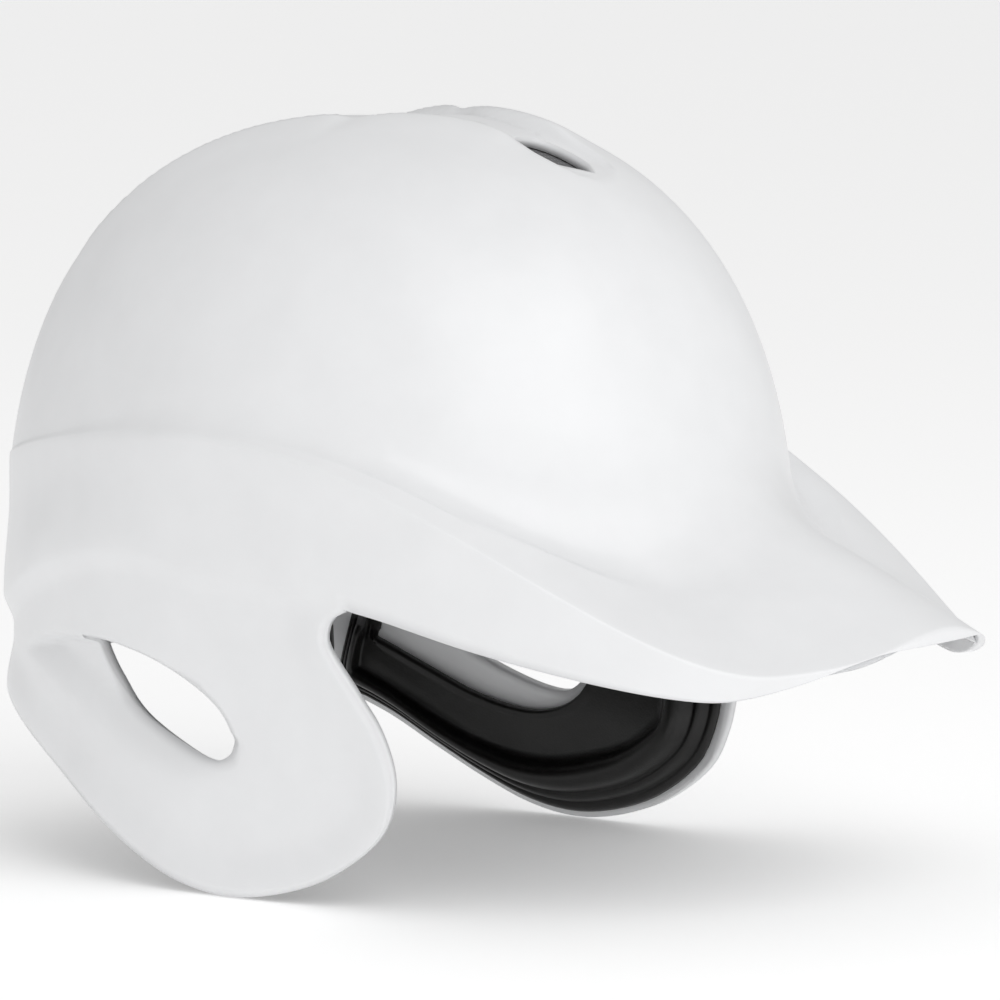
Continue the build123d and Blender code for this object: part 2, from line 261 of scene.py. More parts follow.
def crownSurface(x, y):
    h = helmet
    a = h["domeFront"] if x >= 0 else h["domeRear"]
    share = math.hypot(x / a, y / h["domeHalfWidth"])
    return raised(Vector((x, y, domeHeight(share))))


def crownFlat():
    n, h = shellGrid["crownSide"], helmet
    grid = []
    for i in range(n + 1):
        row = []
        for j in range(n + 1):
            p, q = 2 * i / n - 1, 2 * j / n - 1
            x = p * math.sqrt(1 - q * q / 2) * shellGrid["crownShare"]
            y = q * math.sqrt(1 - p * p / 2) * shellGrid["crownShare"]
            row.append((x * (h["domeFront"] if x >= 0 else h["domeRear"]), y * h["domeHalfWidth"]))
        grid.append(row)
    return grid


def teardrop():
    side = spread([(43.5, 0), (46, 6.5), (53, 9.6), (62, 7.8), (70, 0)], 24)
    return [tuple(p) for p in side] + [(p.x, -p.y) for p in side[-2:0:-1]]


def slit(side):
    found = []
    for k in range(28):
        a = 2 * math.pi * k / 28
        x, y = 7 * math.cos(a), 2.3 * math.sin(a)
        turn = math.radians(-22) * side
        found.append((2 + x * math.cos(turn) - y * math.sin(turn),
                      side * 21.5 + x * math.sin(turn) + y * math.cos(turn)))
    return found


# the turns of the columns that leave the crown patch's edge
def columnTurns():
    n = shellGrid["crownSide"]
    edge = ([(n, j) for j in range(n // 2, n)] + [(i, n) for i in range(n, 0, -1)]
            + [(0, j) for j in range(n, 0, -1)] + [(i, 0) for i in range(0, n)]
            + [(n, j) for j in range(0, n // 2)])
    turns = []
    for i, j in edge:
        p, q = 2 * i / n - 1, 2 * j / n - 1
        turn = math.atan2(q * math.sqrt(1 - p * p / 2), p * math.sqrt(1 - q * q / 2))
        turns.append(turn if turn > -1e-9 else turn + 2 * math.pi)
    return turns


def bandBottom(turn):
    x = plan(turn).x
    if x >= shellGrid["templeX"] - 0.6:
        return valueAt(billEdge, x)
    back = math.degrees(turn if turn <= math.pi else 2 * math.pi - turn)
    return valueAt(shoulder, back)


# one column of the shell, from the crown patch's edge down to the bill's edge or the flap's shoulder
def column(turn):
    h, g = helmet, shellGrid
    rim = plan(turn)
    crease = creaseHeight(turn)
    oval = domePoint(turn, 1)
    oval.z = 0
    back = math.degrees(turn if turn <= math.pi else 2 * math.pi - turn)
    slack = rim.length - oval.length * domeShare(crease)
    top = rim * (1 - 0.75 * slack * ease((back - 88) / 35) / rim.length)
    reach = top.length
    low, high = 0.4, 1.0
    for k in range(40):
        mid = (low + high) / 2
        height = crease + h["billSlope"] * (1 - mid)
        if reach * mid > oval.length * domeShare(height):
            high = mid
        else:
            low = mid
    root = (low + high) / 2
    rootHeight = crease + h["billSlope"] * (1 - root)
    ledge = reach * (1 - root)
    out = min(h["filletShare"] * ledge, h["filletMost"])
    ledgeStart = root + out / reach
    filletTop = rootHeight + out * h["filletRise"]
    points = []
    startHeight = domeHeight(g["crownShare"])
    for k in range(g["domeRows"] + 1):
        z = startHeight + (filletTop - startHeight) * k / g["domeRows"]
        points.append(raised(domePoint(turn, domeShare(z))))
    p0, p1 = points[-1], domePoint(turn, domeShare(rootHeight))

    def onLedge(share):
        along = min(1, max(0, (share - root) / (1 - root)))
        bulge = h["billSwell"] * math.sin(math.pi * along) * min(1, ledge / 40)
        return Vector((top.x * share, top.y * share, crease + h["billSlope"] * (1 - share) + bulge))

    p2 = onLedge(ledgeStart)
    for k in range(1, g["filletRows"] + 1):
        t = k / g["filletRows"]
        points.append(p0 * (1 - t) ** 2 + p1 * 2 * t * (1 - t) + p2 * t * t)
    softness = h["creaseRound"] + h["rearCreaseRound"] * ease((back - 92) / 45)
    edge = min(softness, 0.3 * ledge)
    last = 1 - edge / reach
    for k in range(1, g["ledgeRows"] + 1):
        points.append(onLedge(ledgeStart + (last - ledgeStart) * k / g["ledgeRows"]))
    bottom = bandBottom(turn)
    drop = min(softness * 1.6, 0.3 * (crease - bottom))
    corner = onLedge(1.0)
    start, end = points[-1], Vector((top.x, top.y, crease - drop))
    for t in (0.25, 0.5, 0.75):
        points.append(start * (1 - t) ** 2 + corner * 2 * t * (1 - t) + end * t * t)
    for k in range(g["bandRows"] + 1):
        share = k / g["bandRows"]
        p = top.lerp(rim, ease(share))
        points.append(Vector((p.x, p.y, (crease - drop) + (bottom - crease + drop) * share)))
    return points


# the flaps, measured round the band from the temple and by height
def bandLengths():
    steps = 600
    start = math.acos((shellGrid["templeX"] / (helmet["domeFront"] + helmet["billReach"]))
                      ** (helmet["billFullness"] / 2))
    table = [(0.0, start)]
    for k in range(1, steps + 1):
        turn = start + (math.pi - start) * k / steps
        table.append((table[-1][0] + (plan(turn) - plan(table[-1][1])).length, turn))
    return table


lengthTable = bandLengths()
halfLength = lengthTable[-1][0]


def lookUp(table, value, key, other):
    low, high = 0, len(table) - 1
    rising = table[-1][key] > table[0][key]
    while high - low > 1:
        mid = (low + high) // 2
        if (table[mid][key] < value) == rising:
            low = mid
        else:
            high = mid
    a, b = table[low], table[high]
    part = (value - a[key]) / (b[key] - a[key])
    return a[other] + (b[other] - a[other]) * part


# beyond the temple the length runs on forwards, below the bill, as a negative number
forwardTable = [(0.0, lengthTable[0][1])]
for k in range(1, 80):
    turn = lengthTable[0][1] - 0.004 * k
    forwardTable.append((forwardTable[-1][0] - (plan(turn) - plan(forwardTable[-1][1])).length, turn))


def turnAt(s):
    if s >= 0:
        return lookUp(lengthTable, min(s, halfLength), 0, 1)
    return lookUp(forwardTable, s, 0, 1)


xTable = [(s, plan(turn).x) for s, turn in forwardTable[::-1] + lengthTable[1:]]


def lengthAt(x):
    return lookUp(xTable, max(min(x, xTable[0][1]), xTable[-1][1]), 1, 0)


flap = {
    "tuck": 11.0, "tuckFall": 62.0, "tuckBack": 0.66, "tuckDown": 0.18,
    "inset": 3.2, "insetFall": 9.0, "flareWidth": 14.0, "flareShare": 0.8, "lean": 2.0,
    "dishDepth": 5.2, "dishFall": 13.0, "lipFall": 1.8,
    "dishLower": [(-88, -49), (-60, -59), (-43, -66), (-23.6, -74), (-7, -77.5), (5, -76.5), (13.5, -72),
                  (17, -66)],
    "dishUpper": [(-88, -49), (-76, -44.6), (-62, -41.8), (-46, -41), (-38, -41), (-17, -45), (-3, -52),
                  (9, -60), (17, -66)],
}


def leaf():
    upper = spread([(-35, 0), (-22, 5.8), (-6, 10.2), (9, 11.6), (22, 10), (30, 5), (31, 0)], 30)
    lower = spread([(31, 0), (27, -4.5), (14, -7.4), (-7, -9.0), (-23, -6), (-35, 0)], 30)
    tilt = math.radians(-26)
    found = []
    for p in upper[:-1] + lower[:-1]:
        found.append((-16 + p.x * math.cos(tilt) - p.y * math.sin(tilt),
                      -55.5 + p.x * math.sin(tilt) + p.y * math.cos(tilt)))
    return found


def distanceTo(line, x, y):
    best = 1e9
    for (ax, ay), (bx, by) in zip(line, line[1:]):
        dx, dy = bx - ax, by - ay
        t = max(0.0, min(1.0, ((x - ax) * dx + (y - ay) * dy) / (dx * dx + dy * dy)))
        best = min(best, math.hypot(x - ax - t * dx, y - ay - t * dy))
    return best


def contains(loop, x, y):
    inside = False
    for (ax, ay), (bx, by) in zip(loop, loop[1:] + loop[:1]):
        if (ay > y) != (by > y) and x < (bx - ax) * (y - ay) / (by - ay) + ax:
            inside = not inside
    return inside


dishLower = [tuple(p) for p in spread(flap["dishLower"], 40)]
dishUpper = [tuple(p) for p in spread(flap["dishUpper"], 40)]
dishLoop = dishLower + dishUpper[-2:0:-1]
rimLine = [(lengthAt(p.x), p.y) for p in spread(flapEdge, 120)]


def flapRelief(s, z):
    turn = turnAt(s)
    x = plan(turn).x
    back = math.degrees(turn)
    fromShoulder = valueAt(shoulder, back) - z
    inset = flap["inset"] * ease(fromShoulder / flap["insetFall"])
    inset *= 1 - flap["flareShare"] * ease(1 - distanceTo(rimLine, s, z) / flap["flareWidth"])
    inset *= 1 - 0.6 * ease((back - 140) / 30)
    lean = flap["lean"] * ease((-z - 66) / 44)
    dish = 0.0
    if contains(dishLoop, x, z):
        dish = flap["dishDepth"] * ease(distanceTo(dishLower, x, z) / flap["dishFall"]) \
            * ease(distanceTo(dishUpper, x, z) / flap["lipFall"] + 0.1)
    return -(inset + lean + dish)


# the flaps lean in towards the jaw, and fade into the upright nape
def tucked(s, z):
    back = math.degrees(turnAt(s))
    amount = flap["tuck"] * ease((valueAt(shoulder, back) - z) / flap["tuckFall"])
    amount *= 1 - ease((back - 118) / 45)
    return Vector((-flap["tuckBack"] * amount, -amount, -flap["tuckDown"] * amount))


def flapPoint(s, z, depth, side):
    turn = turnAt(s)
    ahead = (plan(turn + 0.01) - plan(turn - 0.01)).normalized()
    p = plan(turn) - Vector((ahead.y, -ahead.x, 0)) * depth + tucked(s, z)
    return Vector((p.x, p.y * side, z + p.z))


def flapSurface(side):
    def place(s, z):
        return flapPoint(s, z, -flapRelief(s, z), side)
    return place


# a four-sided patch: shoulder on top, the front of the flap, its lower edge, and the nape's middle
def flapFlat(turns):
    g = shellGrid
    top = []
    for turn in turns:
        atNape = turn > math.pi - 1e-6
        top.append(Vector((halfLength if atNape else lengthAt(plan(turn).x), bandBottom(turn))))
    corner = next(k for k, p in enumerate(rimLine) if p[1] < -88)
    front = spread([Vector(p) for p in rimLine[:corner + 1:3]] + [Vector(rimLine[corner])], g["flapRows"])
    front[0] = top[0].copy()
    below = [Vector(p) for p in rimLine[corner:]]
    below[-1] = Vector((halfLength, below[-1].y))
    shares = [(p.x - top[0].x) / (top[-1].x - top[0].x) for p in top]
    lengths = [0.0]
    for a, b in zip(below, below[1:]):
        lengths.append(lengths[-1] + (b - a).length)
    bottom = []
    for share in shares:
        goal = lengths[-1] * share
        k = max(i for i in range(len(lengths)) if lengths[i] <= goal + 1e-9)
        k = min(k, len(below) - 2)
        bottom.append(below[k].lerp(below[k + 1], (goal - lengths[k]) / (lengths[k + 1] - lengths[k])))
    rows = []
    for i in range(g["flapRows"] + 1):
        v = i / g["flapRows"]
        middle = top[-1].lerp(bottom[-1], v)
        row = []
        for j, u in enumerate(shares):
            p = top[j] * (1 - v) + bottom[j] * v + front[i] * (1 - u) + middle * u
            p -= (top[0] * (1 - u) + top[-1] * u) * (1 - v) + (bottom[0] * (1 - u) + bottom[-1] * u) * v
            row.append((p.x, p.y))
        rows.append(row)
    return rows


def buildShell():
    bm = bmesh.new()
    flat = crownFlat()
    skip = set()
    cutHole(bm, flat, crownSurface, teardrop(), 5, 2.0, skip)
    for side in (1, -1):
        cutHole(bm, flat, crownSurface, slit(side), 4, 1.6, skip)
    addGrid(bm, [[crownSurface(x, y) for x, y in row] for row in flat], skip)
    turns = columnTurns()
    columns = [column(t) for t in turns]
    addGrid(bm, columns + columns[:1])
    half = len(turns) // 2
    first = min(range(half), key=lambda k: abs(plan(turns[k]).x - shellGrid["templeX"]))
    flapTurns = [turns[k] for k in range(first, half)] + [math.pi]
    outline = [(lengthAt(x), z) for x, z in leaf()]
    for side in (1, -1):
        flatFlap = flapFlat(flapTurns)
        skip = set()
        cutHole(bm, flatFlap, flapSurface(side), outline, 6, 2.5, skip)
        place = flapSurface(side)
        addGrid(bm, [[place(s, z) for s, z in row] for row in flatFlap], skip)
    bmesh.ops.remove_doubles(bm, verts=bm.verts, dist=0.05 * mm)
    bmesh.ops.recalc_face_normals(bm, faces=bm.faces)
    highest = max(bm.faces, key=lambda f: f.calc_center_median().z)
    if highest.normal.z < 0:
        bmesh.ops.reverse_faces(bm, faces=bm.faces)
    bm.normal_update()
    return bm


def asObject(bm, name):
    mesh = bpy.data.meshes.new(name)
    bm.to_mesh(mesh)
    bm.free()
    mesh.shade_smooth()
    obj = bpy.data.objects.new(name, mesh)
    bpy.context.scene.collection.objects.link(obj)
    return obj


print("shell: outer surface, holes and relief")
shell = asObject(buildShell(), "shell_moulding")
print("shell faces", len(shell.data.polygons))
wallMod = shell.modifiers.new("wall", "SOLIDIFY")
wallMod.thickness = helmet["wall"] * mm
wallMod.offset = -1
wallMod.use_even_offset = True
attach(shell, "root")
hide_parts("outer_shell")


# offset of a closed loop, towards its inside when away is negative, a little at a time and kept smooth
def offsetLoop(loop, away, share=None):
    turn = 1 if loopTurn(loop) > 0 else -1
    shares = [share(p) if share else 1.0 for p in loop]
    steps = max(1, int(abs(away) / 0.8))
    n = len(loop)
    for step in range(steps):
        moved = []
        for k in range(n):
            ahead = (loop[(k + 2) % n] - loop[k - 2]).normalized()
            moved.append(loop[k] + Vector((ahead.y, -ahead.x)) * turn * away / steps * shares[k])
        loop = [moved[k] * 0.7 + (moved[k - 1] + moved[(k + 1) % n]) * 0.15 for k in range(n)]
    return loop


# the ear pad's outline, and the steps of its moulded cover as distance in from the edge and height
earPad = {
    "edge": 1.7, "top": -5.0, "back": -72.0, "corner": 20.0, "gap": 0.5, "skin": 1.2, "points": 216,
    "steps": [(0.0, 1.4), (0.5, 2.2), (1.4, 2.8), (2.3, 2.9), (2.7, 2.3), (3.3, 2.8), (4.1, 4.6), (5.1, 5.2),
              (5.9, 5.2), (6.3, 4.6), (7.0, 5.2), (8.0, 7.6), (9.4, 9.2), (11.2, 9.8), (13.2, 9.6),
              (14.8, 8.4), (15.8, 6.4), (16.8, 4.2), (18.0, 3.0)],
    "floorRows": 9, "narrow": 0.42,
    "lip": [(2.6, 3.0), (1.8, 3.5), (1.0, 3.4), (0.5, 2.7), (0.2, 1.4)],
    "openingBack": -63.0,
}


# the opening that leaves the shell's dish and its ear hole bare
def padOpening():
    lower = [p for p in dishLower if p[0] > earPad["openingBack"]]
    upper = [p for p in dishUpper if p[0] > earPad["openingBack"]]
    return [(lengthAt(x), z) for x, z in lower + upper[-2::-1]]


# the moulded ring is wide in front and below, and narrow behind and above
def ringShare(p):
    x = plan(turnAt(p.x)).x
    return earPad["narrow"] + (1 - earPad["narrow"]) * ease((x + 50) / 80) * ease((-12 - p.y) / 30)


def earPadOutline():
    edge = [Vector(p) for p in rimLine if p[1] < -33 and p[0] < lengthAt(earPad["back"])]
    inner = []
    for k in range(1, len(edge) - 1):
        ahead = (edge[k + 1] - edge[k - 1]).normalized()
        inner.append(edge[k] + Vector((-ahead.y, ahead.x)) * -earPad["edge"])
    if inner[0].x < edge[1].x:
        inner = [edge[k + 1] * 2 - p for k, p in enumerate(inner)]
    back = lengthAt(earPad["back"])
    top = earPad["top"]
    corners = [Vector((back, inner[-1].y)), Vector((back, top)), Vector((inner[0].x, top))]
    loop = inner[1:-3:2]
    for k, corner in enumerate(corners):
        before = loop[-1] if k == 0 else corners[k - 1]
        after = corners[k + 1] if k < 2 else loop[0]
        reach = min(earPad["corner"], 0.45 * (corner - before).length, 0.45 * (after - corner).length)
        start, end = corner.lerp(before, reach / (before - corner).length), corner.lerp(
            after, reach / (after - corner).length)
        for k in range(6):
            t = k / 5
            loop.append(start * (1 - t) ** 2 + corner * 2 * t * (1 - t) + end * t * t)
    return [Vector(p) for p in evenLoop([tuple(p) for p in loop], earPad["points"])]


def earPadDepth(s, z, height):
    shellDepth = -flapRelief(s, z) + helmet["wall"] + earPad["gap"]
    level = shellDepth
    x = plan(turnAt(s)).x
    if contains(dishLoop, x, z):
        level -= flap["dishDepth"]
    return max(level + height, shellDepth + earPad["skin"] + 0.2)


def buildEarPad(side):
    outline = earPadOutline()
    rows = [(offsetLoop(outline, -away, ringShare) if away else outline, height)
            for away, height in earPad["steps"]]
    hole = [Vector(p) for p in evenLoop(padOpening(), earPad["points"])]
    last = rows[-1][0]
    if loopTurn(hole) * loopTurn(last) < 0:
        hole.reverse()
    count = len(hole)
    wide = offsetLoop(hole, earPad["lip"][0][0])
    shift = min(range(count), key=lambda k: sum((last[n] - wide[(n + k) % count]).length_squared
                                                for n in range(0, count, 3)))
    hole = hole[shift:] + hole[:shift]
    lip = [(offsetLoop(hole, away), height) for away, height in earPad["lip"]]
    for k in range(1, earPad["floorRows"]):
        share = k / earPad["floorRows"]
        ring = [a.lerp(b, share) for a, b in zip(last, lip[0][0])]
        rows.append((ring, rows[len(earPad["steps"]) - 1][1] * (1 - share) + lip[0][1] * share))
    rows += lip
    bm = bmesh.new()
    band = []
    for ring, height in rows:
        placed = [flapPoint(p.x, p.y, earPadDepth(p.x, p.y, height), side) for p in ring]
        band.append(placed + placed[:1])
    addGrid(bm, band)
    bmesh.ops.remove_doubles(bm, verts=bm.verts, dist=0.02 * mm)
    bmesh.ops.recalc_face_normals(bm, faces=bm.faces)
    lowest = max(bm.faces, key=lambda f: f.calc_area())
    if lowest.normal.y * side > 0:
        bmesh.ops.reverse_faces(bm, faces=bm.faces)
    return bm


# a closed ring that follows the pad's edge, from rows of distance in and height
def buildPadRing(rows, sides):
    bm = bmesh.new()
    outline = earPadOutline()
    for side in sides:
        band = []
        for away, height in rows + rows[:1]:
            ring = offsetLoop(outline, -away, ringShare)
            depths = [helmet["wall"] + height - flapRelief(p.x, p.y) for p in ring]
            placed = [flapPoint(p.x, p.y, depth, side) for p, depth in zip(ring, depths)]
            band.append(placed + placed[:1])
        addGrid(bm, band)
    bmesh.ops.remove_doubles(bm, verts=bm.verts, dist=0.02 * mm)
    bmesh.ops.recalc_face_normals(bm, faces=bm.faces)
    return bm


def addThickness(obj, thickness):
    modifier = obj.modifiers.new("wall", "SOLIDIFY")
    modifier.thickness = thickness * mm
    modifier.offset = -1


print("ear pads: stepped covers with an opening over the ear")
earPads = {}
for side, hand in ((1, "left"), (-1, "right")):
    cover = asObject(buildEarPad(side), "ear_pad_moulding_" + hand)
    addThickness(cover, earPad["skin"])
    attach(cover, "root")
    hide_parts("ear_pad_cover_" + hand)
    earPads[hand] = cover


foamRows = [(6.4, 0.8), (6.8, 3.0), (8.4, 5.6), (10.0, 7.2), (13.0, 7.4), (14.6, 6.0), (15.2, 3.0),
            (15.4, 0.8)]
tapeRows = [(2.0, 0.1), (2.0, 0.4), (6.0, 0.4), (6.0, 0.1)]
foams = {}
for side, hand in ((1, "left"), (-1, "right")):
    foams[hand] = asObject(buildPadRing(foamRows, [side]), "ear_pad_foam_ring_" + hand)
    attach(foams[hand], "root")
    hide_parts("ear_pad_foam_" + hand)
padTape = asObject(buildPadRing(tapeRows, [1, -1]), "ear_pad_tape_strips")
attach(padTape, "root")
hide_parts("ear_pad_tape")


# a sheet of mesh cloth stretched under the crown's air channel
mesh = {"front": 74.0, "back": -14.0, "side": 1.5, "cell": 2.3, "gap": 0.5, "thick": 0.3, "thread": 0.13,
        "columns": 18, "cut": 92.0}


def meshPoint(x, across):
    line = valueAt(crown["bladeLine"], x)
    if x > crown["noseX"]:
        past = min(1.0, (x - crown["noseX"]) / crown["noseLength"])
        line = crown["noseHalf"] * math.sqrt(max(0.02, 1 - past * past))
    y = across * (line + mesh["side"])
    a = helmet["domeFront"] if x >= 0 else helmet["domeRear"]
    p = Vector((x, y, domeHeight(math.hypot(x / a, y / helmet["domeHalfWidth"]))))
    return p - domeNormal(p) * (valueAt(crown["channelDepth"], min(x, 74)) + helmet["wall"] + mesh["gap"])


def buildMeshSheet():
    length = mesh["front"] - mesh["back"]
    rows = int(length / mesh["cell"])
    columns = mesh["columns"]
    bm = bmesh.new()
    grid = [[meshPoint(mesh["front"] - length * i / rows, 2 * j / columns - 1) for j in range(columns + 1)]
            for i in range(rows + 1)]
    addGrid(bm, grid)
    bmesh.ops.recalc_face_normals(bm, faces=bm.faces)
    if sum(f.normal.z for f in bm.faces) < 0:
        bmesh.ops.reverse_faces(bm, faces=bm.faces)
    return bm


print("vent mesh: stretched sheet and its knit")
meshSheet = asObject(buildMeshSheet(), "vent_mesh_cloth")
meshWidth = (meshPoint(mesh["back"], 1) - meshPoint(mesh["back"], -1)).length * mm


# threads along the edges of six-sided cells, as tubes
def knitGroup():
    group = bpy.data.node_groups.new("knit threads", "GeometryNodeTree")
    group.interface.new_socket("Geometry", in_out="INPUT", socket_type="NodeSocketGeometry")
    group.interface.new_socket("Thread radius", in_out="INPUT", socket_type="NodeSocketFloat")
    group.interface.new_socket("Material", in_out="INPUT", socket_type="NodeSocketMaterial")
    group.interface.new_socket("Geometry", in_out="OUTPUT", socket_type="NodeSocketGeometry")
    nodes, links = group.nodes, group.links
    start, end = nodes.new("NodeGroupInput"), nodes.new("NodeGroupOutput")
    split = nodes.new("GeometryNodeTriangulate")
    cells = nodes.new("GeometryNodeDualMesh")
    curve = nodes.new("GeometryNodeMeshToCurve")
    circle = nodes.new("GeometryNodeCurvePrimitiveCircle")
    circle.inputs["Resolution"].default_value = 5
    tube = nodes.new("GeometryNodeCurveToMesh")
    real = nodes.new("GeometryNodeRealizeInstances")
    paint = nodes.new("GeometryNodeSetMaterial")
    links.new(start.outputs["Geometry"], split.inputs[0])
    links.new(split.outputs[0], cells.inputs[0])
    links.new(cells.outputs[0], curve.inputs[0])
    links.new(curve.outputs[0], tube.inputs[0])
    links.new(start.outputs["Thread radius"], circle.inputs["Radius"])
    links.new(circle.outputs[0], tube.inputs[1])
    links.new(tube.outputs[0], real.inputs[0])
    links.new(real.outputs[0], paint.inputs[0])
    links.new(start.outputs["Material"], paint.inputs["Material"])
    links.new(paint.outputs[0], end.inputs[0])
    return group


def runNodes(source, group, values, name):
    modifier = source.modifiers.new("nodes", "NODES")
    modifier.node_group = group
    for item in group.interface.items_tree:
        if item.item_type == "SOCKET" and item.in_out == "INPUT" and item.name in values:
            modifier[item.identifier] = values[item.name]
    bpy.context.view_layer.update()
    made = bpy.data.meshes.new_from_object(source.evaluated_get(bpy.context.evaluated_depsgraph_get()))
    source.modifiers.remove(modifier)
    made.name = name
    obj = bpy.data.objects.new(name, made)
    bpy.context.scene.collection.objects.link(obj)
    return obj


# materials, one procedural finish for each slot
def newMaterial(name, colour, roughness, bumps=(), shade=None, sheen=0.0, coat=0.0):
    material = bpy.data.materials.new(name)
    material.use_nodes = True
    nodes, links = material.node_tree.nodes, material.node_tree.links
    shader = next(n for n in nodes if n.type == "BSDF_PRINCIPLED")
    shader.inputs["Roughness"].default_value = roughness
    if sheen:
        shader.inputs["Sheen Weight"].default_value = sheen
        shader.inputs["Sheen Roughness"].default_value = 0.5
    if coat:
        shader.inputs["Coat Weight"].default_value = coat
        shader.inputs["Coat Roughness"].default_value = 0.06
    where = nodes.new("ShaderNodeTexCoord").outputs["Object"]
    spread = shade or {"scale": 60.0, "dark": 0.93}
    noise = nodes.new("ShaderNodeTexNoise")
    noise.inputs["Scale"].default_value = spread["scale"]
    noise.inputs["Detail"].default_value = 4
    links.new(where, noise.inputs["Vector"])
    mix = nodes.new("ShaderNodeMix")
    mix.data_type = "RGBA"
    mix.inputs["A"].default_value = (*[c * spread["dark"] for c in colour], 1)
    mix.inputs["B"].default_value = (*colour, 1)
    links.new(noise.outputs["Fac"], mix.inputs["Factor"])
    links.new(mix.outputs["Result"], shader.inputs["Base Color"])
    rough = nodes.new("ShaderNodeMapRange")
    rough.inputs["To Min"].default_value = roughness * 0.88
    rough.inputs["To Max"].default_value = roughness * 1.12
    links.new(noise.outputs["Fac"], rough.inputs["Value"])
    links.new(rough.outputs["Result"], shader.inputs["Roughness"])
    normal = None
    for kind, scale, strength, distance in bumps:
        texture = nodes.new("ShaderNodeTexVoronoi" if kind == "cells" else "ShaderNodeTexNoise")
        texture.inputs["Scale"].default_value = scale
        links.new(where, texture.inputs["Vector"])
        bump = nodes.new("ShaderNodeBump")
        bump.inputs["Strength"].default_value = strength
        bump.inputs["Distance"].default_value = distance * mm
        links.new(texture.outputs["Distance" if kind == "cells" else "Fac"], bump.inputs["Height"])
        if normal:
            links.new(normal, bump.inputs["Normal"])
        normal = bump.outputs["Normal"]
    if normal:
        links.new(normal, shader.inputs["Normal"])
    return material


finishes = {
    "shell": newMaterial("gloss_white_abs", (0.86, 0.865, 0.875), 0.36, [("noise", 18, 0.05, 0.4)],
                         coat=0.12),
    "ear_pad_skin": newMaterial("satin_black_skin", (0.005, 0.0045, 0.0042), 0.42,
                                [("cells", 1500, 0.3, 0.1)]),
    "mesh": newMaterial("black_knit", (0.006, 0.006, 0.007), 0.85, [("cells", 1900, 0.6, 0.15)], sheen=0.3),
    "thread": newMaterial("grey_thread", (0.2, 0.2, 0.21), 0.7, [("noise", 3000, 0.4, 0.05)], sheen=0.4),
    "liner_foam": newMaterial("black_bead_foam", (0.028, 0.028, 0.03), 0.6, [("cells", 330, 0.5, 0.5)]),
    "pad_cloth": newMaterial("black_brushed_knit", (0.022, 0.022, 0.025), 0.9,
                             [("cells", 1400, 0.5, 0.15)], sheen=0.5),
    "tape": newMaterial("pale_foam_tape", (0.66, 0.64, 0.58), 0.7, [("noise", 900, 0.4, 0.1)]),
    "hook_tape": newMaterial("hook_tape", (0.03, 0.03, 0.03), 0.55, [("cells", 1100, 0.9, 0.3)]),
    "loop_tape": newMaterial("loop_tape", (0.045, 0.045, 0.045), 0.95, [("noise", 1600, 0.9, 0.3)],
                             sheen=0.6),
    "soft_foam": newMaterial("grey_open_foam", (0.07, 0.07, 0.072), 0.95, [("cells", 1200, 0.8, 0.3)]),
}
shell.data.materials.append(finishes["shell"])
for cover in earPads.values():
    cover.data.materials.append(finishes["ear_pad_skin"])
for foam in foams.values():
    foam.data.materials.append(finishes["soft_foam"])
padTape.data.materials.append(finishes["tape"])
threadValues = {"Thread radius": mesh["thread"] * mm, "Material": finishes["thread"]}
meshKnit = runNodes(meshSheet, knitGroup(), threadValues, "vent_mesh_threads")
for obj in (meshSheet, meshKnit):
    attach(obj, "root")
meshSheet.data.materials.append(finishes["mesh"])
addThickness(meshSheet, mesh["thick"])
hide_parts("vent_mesh")


# comfort pads: a closed skin on the liner, filled by air pressure so that it plumps and creases a little
comfort = {
    "depth": 15.6, "thick": 4.2, "rows": 22, "edge": 2.6, "stiffness": 18.0, "pressure": 4.0, "frames": 20,
    "cap": 1.2,
    # the way each pad faces, its half angle and the height of its lower edge
    "round": {"forehead_pad": (0, 34.0, 11.0), "side_pad_left": (90, 30.0, 7.0),
              "nape_pad": (180, 30.0, -41.0), "side_pad_right": (270, 30.0, 7.0)},
    "height": 30.0, "crownLength": 90.0, "crownWidth": 64.0,
}


def layerPoint(turn, z, inset):
    h = helmet
    up = max(0.0, z + h["waistDrop"]) / (h["crownHeight"] + h["waistDrop"] - inset)
    share = (1 - min(up, 1) ** h["domeFullness"]) ** (1 / h["domeFullness"])
    c, s = math.cos(turn), math.sin(turn)
    reach = (h["domeFront"] if c >= 0 else h["domeRear"]) - inset
    across = h["domeHalfWidth"] - inset
    r = share / math.hypot(c / reach, s / across)
    return Vector((r * c, r * s, z))


def crownPoint(x, y, inset):
    h = helmet
    reach = (h["domeFront"] if x >= 0 else h["domeRear"]) - inset
    share = math.hypot(x / reach, y / (h["domeHalfWidth"] - inset))
    top = h["crownHeight"] + h["waistDrop"] - inset
    return Vector((x, y, top * (1 - share ** h["domeFullness"]) ** (1 / h["domeFullness"]) - h["waistDrop"]))


